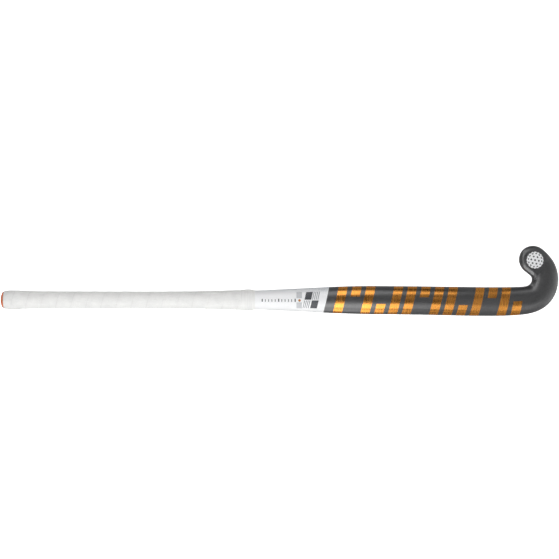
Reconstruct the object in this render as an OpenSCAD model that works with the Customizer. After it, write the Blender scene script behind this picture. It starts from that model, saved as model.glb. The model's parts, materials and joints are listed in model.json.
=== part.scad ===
// Composite field hockey stick, right handed, lying on its flat playing face.
// +X runs from the butt end to the head, +Y is the toe side, +Z is the rounded back.
// All lengths are in millimetres.

/* [Stick] */
// Overall length, from the butt cap to the outside of the head
stick_l = 927; // [900:1:965]
// Wall thickness of the moulded laminate
wall = 2.0; // [1.4:0.1:2.2]
// Wall thickness of each inner tube
tube_wall = 1.0; // [0.6:0.1:1.4]

/* [Grip] */
// Thickness of the cushion strip under the grip
underlay_t = 0.55; // [0.3:0.05:0.8]
// Thickness of the chamois grip
grip_t = 1.0; // [0.7:0.05:1.3]
// Where the finishing tape starts, from the butt end
tape_x0 = 398; // [392:1:400]

/* [Butt] */
// Diameter of the rim of the butt cap
cap_d = 28.4; // [27:0.2:28.8]
// Height of the dome of the butt cap
cap_h = 4.8; // [4:0.2:4.8]
// Diameter of the stem that plugs into the handle
stem_d = 21.5; // [18:0.5:22]
// Length of the stem
stem_l = 18; // [10:1:20]

/* [Graphics] */
// Thickness of the printed films and foils
film_t = 0.2; // [0.15:0.05:0.3]
// Number of slanted foil bars
bar_n = 14; // [6:1:14]
// Length of each foil bar along the shaft
bar_w = 15; // [8:0.5:17]
// Distance from one foil bar to the next
bar_pitch = 22.7; // [18:0.1:22.7]
// Lean of the foil bars and of the edge of the white film, in degrees
lean = 13; // [0:1:16]
// Number of tick marks on the white film
tick_n = 11; // [3:1:11]
// Radius of the round toe mark
roundel_r = 14; // [8:0.5:15]

/* [Hidden] */

// The middle of the stick's outline goes to the origin.
origin_x = stick_l / 2;
origin_y = 31.5;

// Stations along the stick, each [x, y, half width, thickness, height of the
// underside, height of the widest line above the underside, half width of the
// flat, exponent of the back's curve]. The handle is nearly round, the shaft is
// D shaped, and the head hooks round to the toe.
stations = [
    [5.5, 0, 13.7, 27.8, 2.0, 13.9, 0.8, 2],
    [10, 0, 14.1, 28.8, 1.7, 14.4, 0.8, 2],
    [16, 0, 14.4, 29.4, 1.65, 14.7, 0.8, 2],
    [23, 0, 14.3, 29.1, 2.0, 14.5, 0.8, 2],
    [32, 0, 13.8, 28.3, 2.7, 14.1, 0.8, 2],
    [44, 0, 13.4, 27.6, 3.5, 13.8, 0.8, 2],
    [60, 0, 13.1, 27.1, 4.4, 13.5, 0.8, 2],
    [80, 0, 12.9, 26.8, 5.3, 13.4, 0.8, 2],
    [105, 0, 12.8, 26.6, 6.3, 13.3, 0.8, 2],
    [134, 0, 12.7, 26.5, 7.4, 13.2, 0.8, 2],
    [164, 0, 12.6, 26.5, 8.5, 13.2, 0.8, 2],
    [194, 0, 12.6, 26.5, 9.65, 13.2, 0.8, 2],
    [224, 0, 12.6, 26.5, 10.8, 13.2, 0.8, 2],
    [254, 0, 12.6, 26.5, 11.9, 13.2, 0.8, 2],
    [284, 0, 12.7, 26.5, 13.0, 13.2, 0.9, 2],
    [314, 0, 12.9, 26.5, 14.1, 13.1, 1.2, 2],
    [344, 0, 13.4, 26.5, 15.2, 12.9, 2.0, 2],
    [372, 0, 14.2, 26.4, 16.3, 12.5, 3.4, 2],
    [400, 0, 15.1, 26.2, 17.5, 11.8, 5.6, 2.02],
    [430, 0, 16.05, 25.9, 18.7, 11.0, 8.0, 2.04],
    [460, 0, 17.4, 25.6, 19.9, 10.2, 10.3, 2.08],
    [490, 0, 18.85, 25.3, 21.0, 9.6, 12.4, 2.1],
    [520, 0, 20.35, 25.0, 22.0, 9.1, 14.2, 2.12],
    [550, 0, 21.8, 24.7, 22.8, 8.8, 15.8, 2.14],
    [580, 0, 22.8, 24.4, 23.4, 8.6, 17.0, 2.15],
    [610, -0.2, 23.4, 24.2, 23.8, 8.4, 17.6, 2.15],
    [640, -0.4, 23.4, 24.0, 23.8, 8.2, 17.8, 2.15],
    [670, -0.7, 23.5, 23.8, 23.2, 8.1, 17.9, 2.15],
    [700, -1.1, 23.6, 23.5, 21.6, 8.0, 18.0, 2.15],
    [730, -1.7, 23.7, 23.2, 18.7, 7.9, 18.1, 2.15],
    [758, -2.2, 23.9, 22.9, 14.9, 7.8, 18.2, 2.16],
    [784, -2.7, 24.0, 22.5, 10.6, 7.7, 18.3, 2.18],
    [807, -2.9, 24.0, 22.1, 6.6, 7.6, 18.4, 2.2],
    [827, -2.9, 24.0, 21.7, 3.5, 7.5, 18.3, 2.25],
    [844, -2.6, 23.8, 21.4, 1.5, 7.5, 18.0, 2.35],
    [859, -2.0, 23.5, 21.2, 0.5, 7.5, 17.6, 2.45],
    [872.2, -0.7, 23.1, 21.0, 0.1, 7.5, 17.2, 2.55],
    [884.9, 3.1, 22.8, 20.9, 0, 7.5, 16.8, 2.6],
    [895.1, 10.6, 22.6, 20.8, 0, 7.5, 16.5, 2.6],
    [901.4, 20.6, 22.2, 20.6, 0, 7.5, 16.1, 2.6],
    [903.9, 32, 21.9, 20.4, 0, 7.4, 15.7, 2.6],
    [903.1, 43.2, 21.7, 20.1, 0, 7.3, 15.6, 2.6],
    [898.8, 53.4, 21.9, 19.7, 0, 7.2, 15.9, 2.65],
    [892, 61.1, 22.4, 19.3, 0, 7.1, 16.4, 2.7],
    [885.2, 66.4, 23, 19.0, 0, 7.0, 17.0, 2.7],
];
last = len(stations) - 1;

// Overall length of the stick as the stations give it.
table_l = 925.6;
// The handle and shaft take up a change of length; the head only moves.
function px(x) = x < 830 ? x * (stick_l - table_l + 830) / 830 : x + stick_l - table_l;
rows = [for (r = stations) [px(r[0]), each [for (i = [1:7]) r[i]]]];
// The toe is a little longer than half round.
toe_k = 1.07;

// Smooth curve through the stations: a uniform cubic B-spline whose control rows
// are relaxed until it passes through every station.
function knot(K, i) = i < 0 ? 2 * K[0] - K[1] : i > last ? 2 * K[last] - K[last - 1] : K[i];
function relax(K, n) = n == 0 ? K : relax([for (i = [0:last]) i == 0 || i == last ? rows[i] : K[i] + rows[i] - (K[i - 1] + 4 * K[i] + K[i + 1]) / 6], n - 1);
K = relax(rows, 14);
function span(u) = min(max(floor(u), 0), last - 1);
function row(u) = let(i = span(u), t = u - i, s = 1 - t)
    (s * s * s * knot(K, i - 1) + (3 * t * t * t - 6 * t * t + 4) * knot(K, i) + (3 * s * s * s - 6 * s * s + 4) * knot(K, i + 1) + t * t * t * knot(K, i + 2)) / 6;
function slope(u) = let(i = span(u), t = u - i, s = 1 - t)
    (-s * s * knot(K, i - 1) + (3 * t * t - 4 * t) * knot(K, i) + (-3 * t * t + 2 * t + 1) * knot(K, i + 1) + t * t * knot(K, i + 2)) / 2;
function along(u) = let(d = slope(u)) [d[0], d[1]] / norm([d[0], d[1]]);
// Station number at a position x on the shaft, by bisection.
function u_at(x, lo = 0, hi = 36, n = 22) = n == 0 ? (lo + hi) / 2 : let(m = (lo + hi) / 2) row(m)[0] < x ? u_at(x, m, hi, n - 1) : u_at(x, lo, m, n - 1);

// Height of the back and of the underside at c, from -1 at the heel edge to 1 at the toe edge.
function back_z(r, c) = r[5] + (r[3] - r[5]) * pow(max(1 - pow(min(abs(c), 1), r[7]), 0), 1 / r[7]);
function face_z(r, c) = let(f = r[6] / r[2], q = (min(abs(c), 1) - f) / (1 - f)) q <= 0 ? 0 : r[5] * (1 - sqrt(max(1 - q * q, 0)));
// A station shrunk by d all round; a negative d grows it.
function inset(r, d) = [r[0], r[1], r[2] - d, r[3] - 2 * d, r[4] + d, r[5] - d, min(r[6], r[2] - d - 1), r[7]];

// Section: a list of [c, on the back or not], round the outline from the toe edge.
NT = 14; // steps over the back
NC = 4; // steps round each corner of the face
NF = 2; // steps across the flat
function pw(v, e) = sign(v) * pow(abs(v), e);
function outline(r) = let(f = r[6] / r[2]) [
    for (i = [0:NT - 1]) [pw(cos(180 * i / NT), 2 / r[7]), true],
    for (i = [0:NC - 1]) [-(f + (1 - f) * cos(90 * i / NC)), false],
    for (i = [0:NF - 1]) [-f + 2 * f * i / NF, false],
    for (i = [0:NC - 1]) [f + (1 - f) * sin(90 * i / NC), false],
];
M = NT + 2 * NC + NF;
function at(u, r, c, z) = let(t = along(u)) [r[0] - t[1] * c * r[2] - origin_x, r[1] + t[0] * c * r[2] - origin_y, r[4] + z];
function ring(u, d) = let(r = inset(row(u), d)) [for (p = outline(r)) at(u, r, p[0], p[1] ? back_z(r, p[0]) : face_z(r, p[0]))];
// Rings that close the toe: a from 0 at the last station to 90 at the tip.
function toe_ring(a, d) = let(r = inset(row(last), d), t = along(last), g = cos(a)) [
    for (p = outline(r)) let(q = sqrt(pow(sin(a), 2) + pow(p[0] * g, 2)), s = p[0] * g * r[2], v = sin(a) * r[2] * toe_k)
        [r[0] + t[0] * v - t[1] * s - origin_x, r[1] + t[1] * v + t[0] * s - origin_y, r[4] + (p[1] ? back_z(r, q) : face_z(r, q))]
];
function toe_tip(d) = let(r = inset(row(last), d), t = along(last)) [r[0] + t[0] * r[2] * toe_k - origin_x, r[1] + t[1] * r[2] * toe_k - origin_y, r[4] + r[5]];
toe_angles = [12, 24, 36, 47, 57, 66, 74, 81, 86.5];

// Station numbers used for the rings: one a station on the shaft, two in the head.
us = [for (u = [0:1:33]) u, for (u = [33.5:0.5:last]) u];
function us_between(a, b) = [a, each [for (u = us) if (u > a + 0.2 && u < b - 0.2) u], b];

function flat(l) = [for (a = l) each a];
function rev(l) = [for (i = [len(l) - 1:-1:0]) l[i]];
// Faces between ring a and ring b, each of m points, by the index of their first points.
function band(a, b, m) = [for (j = [0:m - 1]) let(k = (j + 1) % m) each [[a + j, b + k, a + k], [a + j, b + j, b + k]]];
function fan(a, tip, m) = [for (j = [0:m - 1]) [a + (j + 1) % m, a + j, tip]];

// Solid rod through rings, closed flat at both ends.
module rod(R) {
    m = len(R[0]);
    n = len(R);
    polyhedron(flat(R), [[for (j = [0:m - 1]) j], for (i = [0:n - 2]) each band(i * m, (i + 1) * m, m), [for (j = [m - 1:-1:0]) (n - 1) * m + j]], convexity = 8);
}
// Tube between outer rings and inner rings.
module sleeve(Ro, Ri) {
    m = len(Ro[0]);
    L = concat(Ro, rev(Ri));
    n = len(L);
    polyhedron(flat(L), [for (i = [0:n - 1]) each band(i * m, ((i + 1) % n) * m, m)], convexity = 8);
}
// Patch of film between an outer grid and an inner grid of points.
module patch(Go, Gi) {
    w = len(Go[0]);
    n = len(Go);
    b = n * w;
    polyhedron(concat(flat(Go), flat(Gi)), [
        for (i = [0:n - 2], j = [0:w - 2]) each [[i * w + j, (i + 1) * w + j + 1, i * w + j + 1], [i * w + j, (i + 1) * w + j, (i + 1) * w + j + 1]],
        for (i = [0:n - 2], j = [0:w - 2]) each [[b + i * w + j, b + i * w + j + 1, b + (i + 1) * w + j + 1], [b + i * w + j, b + (i + 1) * w + j + 1, b + (i + 1) * w + j]],
        for (j = [0:w - 2]) each [[j, j + 1, b + j], [b + j, j + 1, b + j + 1]],
        for (j = [0:w - 2]) let(k = (n - 1) * w) each [[k + j + 1, k + j, b + k + j], [b + k + j + 1, k + j + 1, b + k + j]],
        for (i = [0:n - 2]) each [[(i + 1) * w, i * w, b + i * w], [b + (i + 1) * w, (i + 1) * w, b + i * w]],
        for (i = [0:n - 2]) let(k = w - 1) each [[i * w + k, (i + 1) * w + k, b + i * w + k], [b + i * w + k, (i + 1) * w + k, b + (i + 1) * w + k]],
    ], convexity = 4);
}

// Round patch of film: nr rings of ns points from the middle out, then the middle point, above and below.
module puck(Po, Pi, nr, ns) {
    b = nr * ns + 1;
    polyhedron(concat(Po, Pi), [
        for (k = [0:nr - 2]) each band((k + 1) * ns, k * ns, ns),
        each fan(0, nr * ns, ns),
        for (k = [0:nr - 2]) each band(b + k * ns, b + (k + 1) * ns, ns),
        each [for (f = fan(b, b + nr * ns, ns)) [f[1], f[0], f[2]]],
        each band(b + (nr - 1) * ns, (nr - 1) * ns, ns),
    ], convexity = 4);
}

// A point on the back of the shaft, at x for c = 0 and leaning with c, d above the skin.
function on_back(x, c, d, s) = let(u = u_at(px(x) + s * c * row(u_at(px(x)))[2]), r = inset(row(u), -d)) at(u, r, c, back_z(r, c));
// Film from x0 to x1 and from c0 to c1, with nx and nc cells, its ends leaning by s.
module film(x0, x1, c0, c1, nx, nc, s, d0 = 0.02, d1 = film_t) {
    G = [for (d = [d1, d0]) [for (i = [0:nx]) [for (j = [0:nc]) on_back(x0 + (x1 - x0) * i / nx, c1 + (c0 - c1) * j / nc, d, s)]]];
    patch(G[0], G[1]);
}

// Half of the cavity on one side (k = 1 is the toe side), for an inner tube.
function half_ring(u, d, k, g) = let(r = inset(row(u), d), e = g / r[2]) [
    for (i = [0:6]) let(c = e + (1 - e) * sin(90 * i / 6)) at(u, r, k * c, back_z(r, c)),
    for (i = [5:-1:0]) let(c = e + (1 - e) * sin(90 * i / 6)) at(u, r, k * c, face_z(r, c)),
];
module half_tube(k) {
    U = us_between(u_at(px(305)), u_at(px(850)));
    Ro = [for (u = U) half_ring(u, wall + 0.1, k, 0.15)];
    Ri = [for (u = U) half_ring(u, wall + 0.1 + tube_wall, k, 0.15 + tube_wall)];
    if (k > 0) sleeve([for (r = Ro) rev(r)], [for (r = Ri) rev(r)]);
    else sleeve(Ro, Ri);
}

// Turns a part made along +Z into line with the handle, its foot at the butt end.
tilt = atan2(row(12)[4] + row(12)[3] / 2 - row(2)[4] - row(2)[3] / 2, row(12)[0] - row(2)[0]);
butt_z = row(2)[4] + row(2)[3] / 2 - row(2)[0] * tan(tilt);
module on_handle() translate([-origin_x, -origin_y, butt_z]) rotate([0, 90 - tilt, 0]) children();

// The moulded carbon and glass laminate: open at the butt, closed round the head.
module laminate_shell() color([0.2, 0.2, 0.21]) {
    Ro = [for (u = us) ring(u, 0), for (a = toe_angles) toe_ring(a, 0)];
    Ri = [for (u = us) ring(u, wall), for (a = toe_angles) toe_ring(a, wall)];
    n = len(Ro);
    b = n * M;
    polyhedron(concat(flat(Ro), flat(Ri), [toe_tip(0), toe_tip(wall)]), [
        for (i = [0:n - 2]) each band(i * M, (i + 1) * M, M),
        each fan((n - 1) * M, 2 * b, M),
        for (i = [0:n - 2]) each band(b + (i + 1) * M, b + i * M, M),
        each [for (f = fan(b + (n - 1) * M, 2 * b + 1, M)) [f[1], f[0], f[2]]],
        each band(b, 0, M),
    ], convexity = 10);
}

module inner_tube_toe_side() color([0.13, 0.13, 0.14]) half_tube(1);
module inner_tube_heel_side() color([0.13, 0.13, 0.14]) half_tube(-1);

// Rigid foam that fills the head inside the laminate.
module head_foam_core() color([0.86, 0.78, 0.6]) {
    d = wall + 0.08;
    U = us_between(u_at(px(851)), last);
    n = len(U) + len(toe_angles);
    R = [for (u = U) ring(u, d), for (a = toe_angles) toe_ring(a, d)];
    polyhedron(concat(flat(R), [toe_tip(d)]), [
        [for (j = [0:M - 1]) j],
        for (i = [0:n - 2]) each band(i * M, (i + 1) * M, M),
        each fan((n - 1) * M, n * M, M),
    ], convexity = 8);
}

// Damping foam in the handle, from the plug to the inner tubes.
module handle_foam_core() color([0.9, 0.88, 0.8]) rod([for (u = us_between(u_at(px(58)), u_at(px(304)))) ring(u, wall + 0.08)]);

// Rubber plug behind the stem of the cap.
module butt_plug() color([0.2, 0.2, 0.2]) rod([for (u = us_between(u_at(px(24)), u_at(px(57.5)))) ring(u, wall + 0.08)]);

// Push-in cap: a low dome with a rolled rim, on a stem with three barbs.
module butt_cap() color([0.86, 0.4, 0.2]) on_handle() rotate_extrude($fn = 72) polygon([
    [0, 0],
    for (a = [10:10:90]) [(cap_d / 2) * pow(sin(a), 2 / 2.4), cap_h * (1 - pow(max(cos(a), 0), 2 / 2.4)) * 0.8],
    [cap_d / 2, cap_h],
    [stem_d / 2, cap_h],
    for (i = [0:2]) each [[stem_d / 2, cap_h + 2 + i * (stem_l - 3) / 3], [stem_d / 2 + 0.45, cap_h + 2.2 + i * (stem_l - 3) / 3], [stem_d / 2, cap_h + 2 + (i + 0.8) * (stem_l - 3) / 3]],
    [stem_d / 2 - 1, cap_h + stem_l],
    [0, cap_h + stem_l],
]);

// Cushion strip between the laminate and the grip.
module grip_underlay() color([0.75, 0.75, 0.73]) {
    U = us_between(u_at(px(9)), u_at(px(412)));
    sleeve([for (u = U) ring(u, -underlay_t)], [for (u = U) ring(u, -0.02)]);
}

// The chamois grip, closed over the rim of the cap.
grip_d = underlay_t + grip_t;
module grip_wrap() color([0.93, 0.93, 0.91]) {
    U = us_between(u_at(px(7.5)), u_at(px(413)));
    sleeve([ring(0, -underlay_t - 0.35), for (u = U) ring(u, -grip_d + (u == U[0] ? 0.25 : 0))], [ring(0, -0.02), for (u = U) ring(u, -underlay_t - 0.02)]);
}

// Finishing tape: a soft ridge where the grip ends on the shaft.
tape = [[0, 0.15], [4, 0.3], [8, 0.7], [11, 0.85], [14, 0.75], [17, 0.5], [20, 0.35], [23.5, 0.25]];
function under(x) = x < 16 ? grip_d + 0.02 : grip_d + 0.02 - (grip_d - 0.02) * (x - 16) / 7.5;
module grip_finishing_tape() color([0.95, 0.95, 0.93])
    sleeve([for (p = tape) ring(u_at(px(tape_x0 + p[0])), -under(p[0]) - p[1])], [for (p = tape) ring(u_at(px(tape_x0 + p[0])), -under(p[0]))]);

// White film round the shaft, from the grip to the leaning edge of the dark zone.
film_x0 = 423;
film_x1 = 538.5;
film_end = row(u_at(px(film_x1)));
function film_x(k, j) = px(film_x0) + k * (px(film_x1) - px(film_x0) + tan(lean) * outline(film_end)[j][0] * film_end[2]);
function film_point(u, j, d) = let(r = inset(row(u), -d), p = outline(r)[j]) at(u, r, p[0], p[1] ? back_z(r, p[0]) : face_z(r, p[0]));
function film_wrap(d) = [for (k = [0:6]) [for (j = [0:M - 1]) film_point(u_at(film_x(k / 6, j)), j, d)]];
module white_shaft_film() color([0.95, 0.96, 0.97]) sleeve(film_wrap(film_t), film_wrap(0.02));

// Slanted foil bars on the dark zone: some run right across, some are short.
// Each row is [first, last] step over the back, counted from the toe edge.
bars = [[1, 13], [1, 6], [1, 13], [8, 13], [1, 13], [1, 13], [1, 6], [1, 13], [1, 13], [8, 13], [1, 13], [1, 6], [1, 13], [7, 13]];
module gold_bar_foils() color([0.84, 0.56, 0.22]) for (i = [0:bar_n - 1]) {
    x = 561.5 + i * bar_pitch;
    G = [for (d = [film_t + 0.03, 0.03]) [for (k = [0:3]) [for (j = [bars[i][0]:bars[i][1]]) on_back(x + bar_w * (k / 3 - 0.5), pw(cos(180 * j / NT), 2 / 2.15), d, tan(lean))]]];
    patch(G[0], G[1]);
}

// A row of small tick marks on the white film.
module shaft_ticks() color([0.2, 0.2, 0.22]) for (i = [0:tick_n - 1]) {
    x = 432.5 + i * 5.4;
    film(x, x + (i % 5 == 0 ? 1.8 : 1.1), -0.16, i % 5 == 0 ? 0.12 : 0.08, 1, 3, 0, film_t + 0.02, film_t + 0.14);
}

// Two pale blocks and a dot beside the tick marks.
module label_grey_blocks() color([0.8, 0.81, 0.82]) for (c = [[-0.7, -0.2], [0.16, 0.68]]) film(489.5, 498.5, c[0], c[1], 2, 4, 0, film_t + 0.02, film_t + 0.14);
function dot(d, nr, ns) = let(w = row(u_at(px(494.5)))[2]) [for (k = [1:nr], i = [0:ns - 1]) let(q = 2.1 * k / nr) on_back(494.5 + q * cos(360 * i / ns), q * sin(360 * i / ns) / w - 0.03, d, 0), on_back(494.5, -0.03, d, 0)];
module label_dot() color([0.8, 0.5, 0.2]) puck(dot(film_t + 0.14, 2, 20), dot(film_t + 0.02, 2, 20), 2, 20);

// Leaning tiles: dark ones and hatched ones.
module label_dark_tiles() color([0.27, 0.28, 0.3]) {
    film(502.5, 513.5, 0.03, 0.66, 2, 5, tan(lean), film_t + 0.02, film_t + 0.14);
    film(515, 526, -0.66, -0.03, 2, 5, tan(lean), film_t + 0.02, film_t + 0.14);
}
module label_hatched_tiles() color([0.5, 0.51, 0.53]) for (i = [0:3]) {
    film(515 + i * 2.9, 516.3 + i * 2.9, 0.03, 0.66, 1, 5, tan(lean), film_t + 0.02, film_t + 0.14);
    film(502.5 + i * 2.9, 503.8 + i * 2.9, -0.66, -0.03, 1, 5, tan(lean), film_t + 0.02, film_t + 0.14);
}

// Round mark on the back of the toe. A point of the mark is brought to the head's
// middle line, to find its station and how far across it lies.
mark = [885.5, 66];
function proj(p, lo, hi, n) = n == 0 ? (lo + hi) / 2 : let(m = (lo + hi) / 2, r = row(m)) (p - [r[0], r[1]]) * along(m) > 0 ? proj(p, m, hi, n - 1) : proj(p, lo, m, n - 1);
function on_toe(p, d) = let(
    e = inset(row(last), -d),
    w = p - [e[0], e[1]],
    v = w * along(last),
    u = v > 0 ? last : proj(p, 39, last, 20),
    r = inset(row(u), -d),
    t = along(u),
    c = v > 0 ? norm([v / toe_k, w * [-t[1], t[0]]]) / e[2] : ((p - [r[0], r[1]]) * [-t[1], t[0]]) / r[2]
) [p[0] - origin_x, p[1] - origin_y, r[4] + back_z(r, c)];
function disc(d, nr, ns) = let(m = [px(mark[0]), mark[1]]) [for (k = [1:nr], i = [0:ns - 1]) on_toe(m + roundel_r * k / nr * [cos(360 * i / ns), sin(360 * i / ns)], d), on_toe(m, d)];
module toe_roundel() color([0.94, 0.94, 0.94]) puck(disc(film_t, 5, 32), disc(0.02, 5, 32), 5, 32);

laminate_shell();
inner_tube_toe_side();
inner_tube_heel_side();
head_foam_core();
handle_foam_core();
butt_plug();
butt_cap();
grip_underlay();
grip_wrap();
grip_finishing_tape();
white_shaft_film();
gold_bar_foils();
shaft_ticks();
label_grey_blocks();
label_dot();
label_dark_tiles();
label_hatched_tiles();
toe_roundel();
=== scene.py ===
import bpy
import bmesh
import json
import math
import numpy as np
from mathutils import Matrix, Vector

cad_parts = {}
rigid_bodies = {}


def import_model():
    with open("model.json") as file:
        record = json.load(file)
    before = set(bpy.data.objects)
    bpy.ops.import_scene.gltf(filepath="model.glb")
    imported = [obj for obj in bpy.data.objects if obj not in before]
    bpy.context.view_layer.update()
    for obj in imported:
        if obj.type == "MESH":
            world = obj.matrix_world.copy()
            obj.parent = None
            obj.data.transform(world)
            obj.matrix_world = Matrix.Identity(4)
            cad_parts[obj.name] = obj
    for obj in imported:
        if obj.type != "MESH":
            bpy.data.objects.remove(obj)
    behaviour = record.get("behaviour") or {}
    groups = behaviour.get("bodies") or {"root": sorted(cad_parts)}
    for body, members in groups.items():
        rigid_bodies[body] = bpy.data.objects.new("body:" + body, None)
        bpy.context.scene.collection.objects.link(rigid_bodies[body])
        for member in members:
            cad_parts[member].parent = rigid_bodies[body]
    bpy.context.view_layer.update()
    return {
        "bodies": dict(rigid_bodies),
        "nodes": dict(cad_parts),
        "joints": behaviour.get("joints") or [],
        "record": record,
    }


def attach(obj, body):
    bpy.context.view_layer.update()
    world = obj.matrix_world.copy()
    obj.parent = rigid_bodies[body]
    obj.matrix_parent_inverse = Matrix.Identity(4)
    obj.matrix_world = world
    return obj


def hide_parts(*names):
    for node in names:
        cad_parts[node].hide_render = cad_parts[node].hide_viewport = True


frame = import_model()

MM = 0.001
rad = math.radians

# ---------------------------------------------------------------- the stick's stations
# x, y, half width, thickness, height of the underside, height of the widest line,
# half width of the flat, exponent of the back; millimetres.
STATIONS = np.array([
    [5.5, 0, 13.7, 27.8, 2.0, 13.9, 0.8, 2],
    [10, 0, 14.1, 28.8, 1.7, 14.4, 0.8, 2],
    [16, 0, 14.4, 29.4, 1.65, 14.7, 0.8, 2],
    [23, 0, 14.3, 29.1, 2.0, 14.5, 0.8, 2],
    [32, 0, 13.8, 28.3, 2.7, 14.1, 0.8, 2],
    [44, 0, 13.4, 27.6, 3.5, 13.8, 0.8, 2],
    [60, 0, 13.1, 27.1, 4.4, 13.5, 0.8, 2],
    [80, 0, 12.9, 26.8, 5.3, 13.4, 0.8, 2],
    [105, 0, 12.8, 26.6, 6.3, 13.3, 0.8, 2],
    [134, 0, 12.7, 26.5, 7.4, 13.2, 0.8, 2],
    [164, 0, 12.6, 26.5, 8.5, 13.2, 0.8, 2],
    [194, 0, 12.6, 26.5, 9.65, 13.2, 0.8, 2],
    [224, 0, 12.6, 26.5, 10.8, 13.2, 0.8, 2],
    [254, 0, 12.6, 26.5, 11.9, 13.2, 0.8, 2],
    [284, 0, 12.7, 26.5, 13.0, 13.2, 0.9, 2],
    [314, 0, 12.9, 26.5, 14.1, 13.1, 1.2, 2],
    [344, 0, 13.4, 26.5, 15.2, 12.9, 2.0, 2],
    [372, 0, 14.2, 26.4, 16.3, 12.5, 3.4, 2],
    [400, 0, 15.1, 26.2, 17.5, 11.8, 5.6, 2.02],
    [430, 0, 16.05, 25.9, 18.7, 11.0, 8.0, 2.04],
    [460, 0, 17.4, 25.6, 19.9, 10.2, 10.3, 2.08],
    [490, 0, 18.85, 25.3, 21.0, 9.6, 12.4, 2.1],
    [520, 0, 20.35, 25.0, 22.0, 9.1, 14.2, 2.12],
    [550, 0, 21.8, 24.7, 22.8, 8.8, 15.8, 2.14],
    [580, 0, 22.8, 24.4, 23.4, 8.6, 17.0, 2.15],
    [610, -0.2, 23.4, 24.2, 23.8, 8.4, 17.6, 2.15],
    [640, -0.4, 23.4, 24.0, 23.8, 8.2, 17.8, 2.15],
    [670, -0.7, 23.5, 23.8, 23.2, 8.1, 17.9, 2.15],
    [700, -1.1, 23.6, 23.5, 21.6, 8.0, 18.0, 2.15],
    [730, -1.7, 23.7, 23.2, 18.7, 7.9, 18.1, 2.15],
    [758, -2.2, 23.9, 22.9, 14.9, 7.8, 18.2, 2.16],
    [784, -2.7, 24.0, 22.5, 10.6, 7.7, 18.3, 2.18],
    [807, -2.9, 24.0, 22.1, 6.6, 7.6, 18.4, 2.2],
    [827, -2.9, 24.0, 21.7, 3.5, 7.5, 18.3, 2.25],
    [844, -2.6, 23.8, 21.4, 1.5, 7.5, 18.0, 2.35],
    [859, -2.0, 23.5, 21.2, 0.5, 7.5, 17.6, 2.45],
    [872.2, -0.7, 23.1, 21.0, 0.1, 7.5, 17.2, 2.55],
    [884.9, 3.1, 22.8, 20.9, 0, 7.5, 16.8, 2.6],
    [895.1, 10.6, 22.6, 20.8, 0, 7.5, 16.5, 2.6],
    [901.4, 20.6, 22.2, 20.6, 0, 7.5, 16.1, 2.6],
    [903.9, 32, 21.9, 20.4, 0, 7.4, 15.7, 2.6],
    [902.7, 43.1, 22.1, 20.1, 0, 7.3, 15.8, 2.6],
    [898.2, 53.0, 22.6, 19.7, 0, 7.2, 16.4, 2.65],
    [891.4, 60.4, 23.2, 19.3, 0, 7.1, 17.0, 2.7],
    [884.9, 66.0, 23.5, 19.0, 0, 7.0, 17.4, 2.7],
])
LEN, TABLE = 927.0, 925.6
OX, OY = LEN / 2, 31.5
LAST = len(STATIONS) - 1
TOE_K = 1.06
WALL = 2.0
LEAN = math.tan(rad(13))


def px(x):
    x = np.asarray(x, float)
    return np.where(x < 830, x * (LEN - TABLE + 830) / 830, x + LEN - TABLE)


ROWS = STATIONS.copy()
ROWS[:, 0] = px(ROWS[:, 0])
KNOT = ROWS.copy()
for _ in range(14):
    nxt = KNOT.copy()
    nxt[1:-1] = KNOT[1:-1] + ROWS[1:-1] - (KNOT[:-2] + 4 * KNOT[1:-1] + KNOT[2:]) / 6
    KNOT = nxt
KNOT = np.vstack([2 * KNOT[0] - KNOT[1], KNOT, 2 * KNOT[-1] - KNOT[-2]])


def row(u):
    u = np.asarray(u, float)
    i = np.clip(np.floor(u), 0, LAST - 1).astype(int)
    t = (u - i)[..., None]
    s = 1 - t
    return (s**3 * KNOT[i] + (3 * t**3 - 6 * t * t + 4) * KNOT[i + 1] + (3 * s**3 - 6 * s * s + 4) * KNOT[i + 2] + t**3 * KNOT[i + 3]) / 6


def along(u):
    u = np.asarray(u, float)
    i = np.clip(np.floor(u), 0, LAST - 1).astype(int)
    t = (u - i)[..., None]
    s = 1 - t
    d = (-s * s * KNOT[i] + (3 * t * t - 4 * t) * KNOT[i + 1] + (-3 * t * t + 2 * t + 1) * KNOT[i + 2] + t * t * KNOT[i + 3])[..., :2]
    return d / np.linalg.norm(d, axis=-1, keepdims=True)


UT = np.linspace(0, 36, 7201)
XT = row(UT)[:, 0]


def u_at(x):
    """Station number at a place on the handle or shaft, x already through px()."""
    return np.interp(x, XT, UT)


def smooth(a, b, v):
    t = np.clip((np.asarray(v, float) - a) / (b - a), 0, 1)
    return t * t * (3 - 2 * t)


def grow(r, d):
    """Stations grown by d all round."""
    r = np.array(r, float)
    r[..., 2] += d
    r[..., 3] += 2 * d
    r[..., 4] -= d
    r[..., 5] += d
    r[..., 6] = np.minimum(r[..., 6], r[..., 2] - 1)
    return r


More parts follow.
